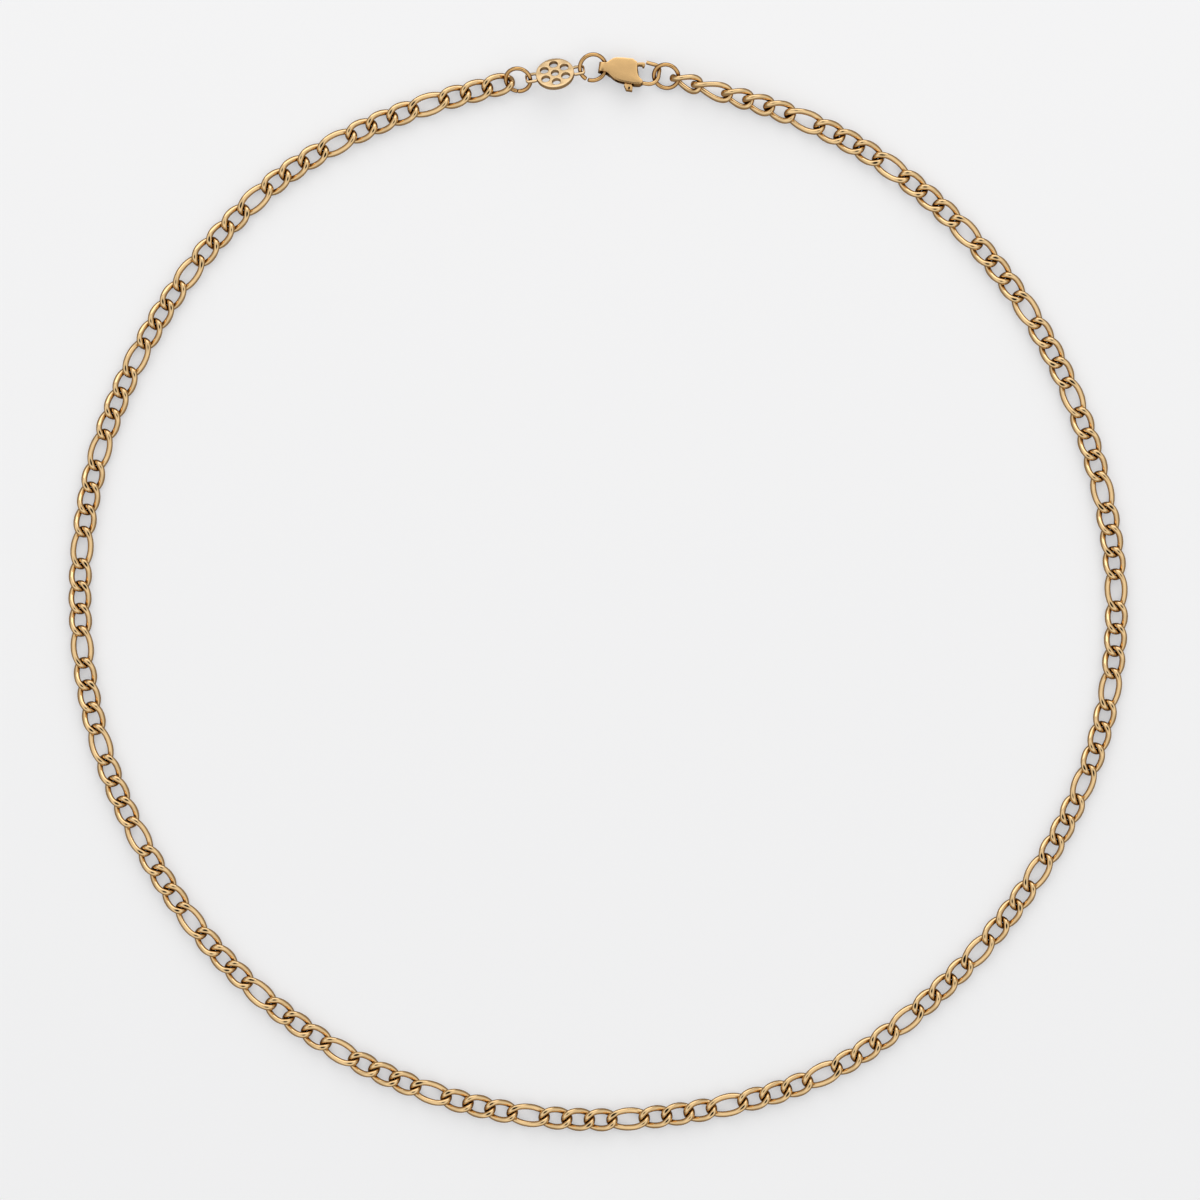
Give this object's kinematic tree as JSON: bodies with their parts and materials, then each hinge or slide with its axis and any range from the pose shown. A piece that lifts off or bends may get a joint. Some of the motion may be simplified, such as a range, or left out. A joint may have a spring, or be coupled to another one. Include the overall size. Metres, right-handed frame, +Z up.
{
  "type": "figaro chain necklace",
  "caption": "Flat figaro chain necklace lying closed in a loop, with a lobster clasp, jump rings and a pierced round tag.",
  "frame": {"origin": "the middle of the part's outline seen from above, on the surface that it lies on", "axes": "+Z up from the surface, through the thin way of the lying chain; +Y towards the clasp and tag; +X to the right as seen from above"},
  "size_m": [0.1617, 0.1645, 0.0041],
  "materials": {
    "chain_gold": "polished gold",
    "ring_gold": "polished gold, a little darker",
    "tag_gold": "satin gold",
    "clasp_gold": "satin gold"
  },
  "bodies": {
    "necklace": {"chain_left": "chain_gold", "chain_right": "chain_gold", "jump_ring_left": "ring_gold", "tag": "tag_gold", "jump_ring_middle": "ring_gold", "clasp_body": "clasp_gold", "clasp_pin": "clasp_gold", "jump_ring_right": "ring_gold"},
    "lever": {"clasp_lever": "clasp_gold"}
  },
  "joints": [
    {"name": "lever_hinge", "type": "hinge", "parent": "necklace", "child": "lever", "pos_m": [0.00448, 0.08017, 0.00127], "axis": [-0.0225, -0.1548, -0.9877], "range_deg": [0, 24], "stiffness_Nm_per_rad": 0.002, "springref_deg": -5.73}
  ]
}
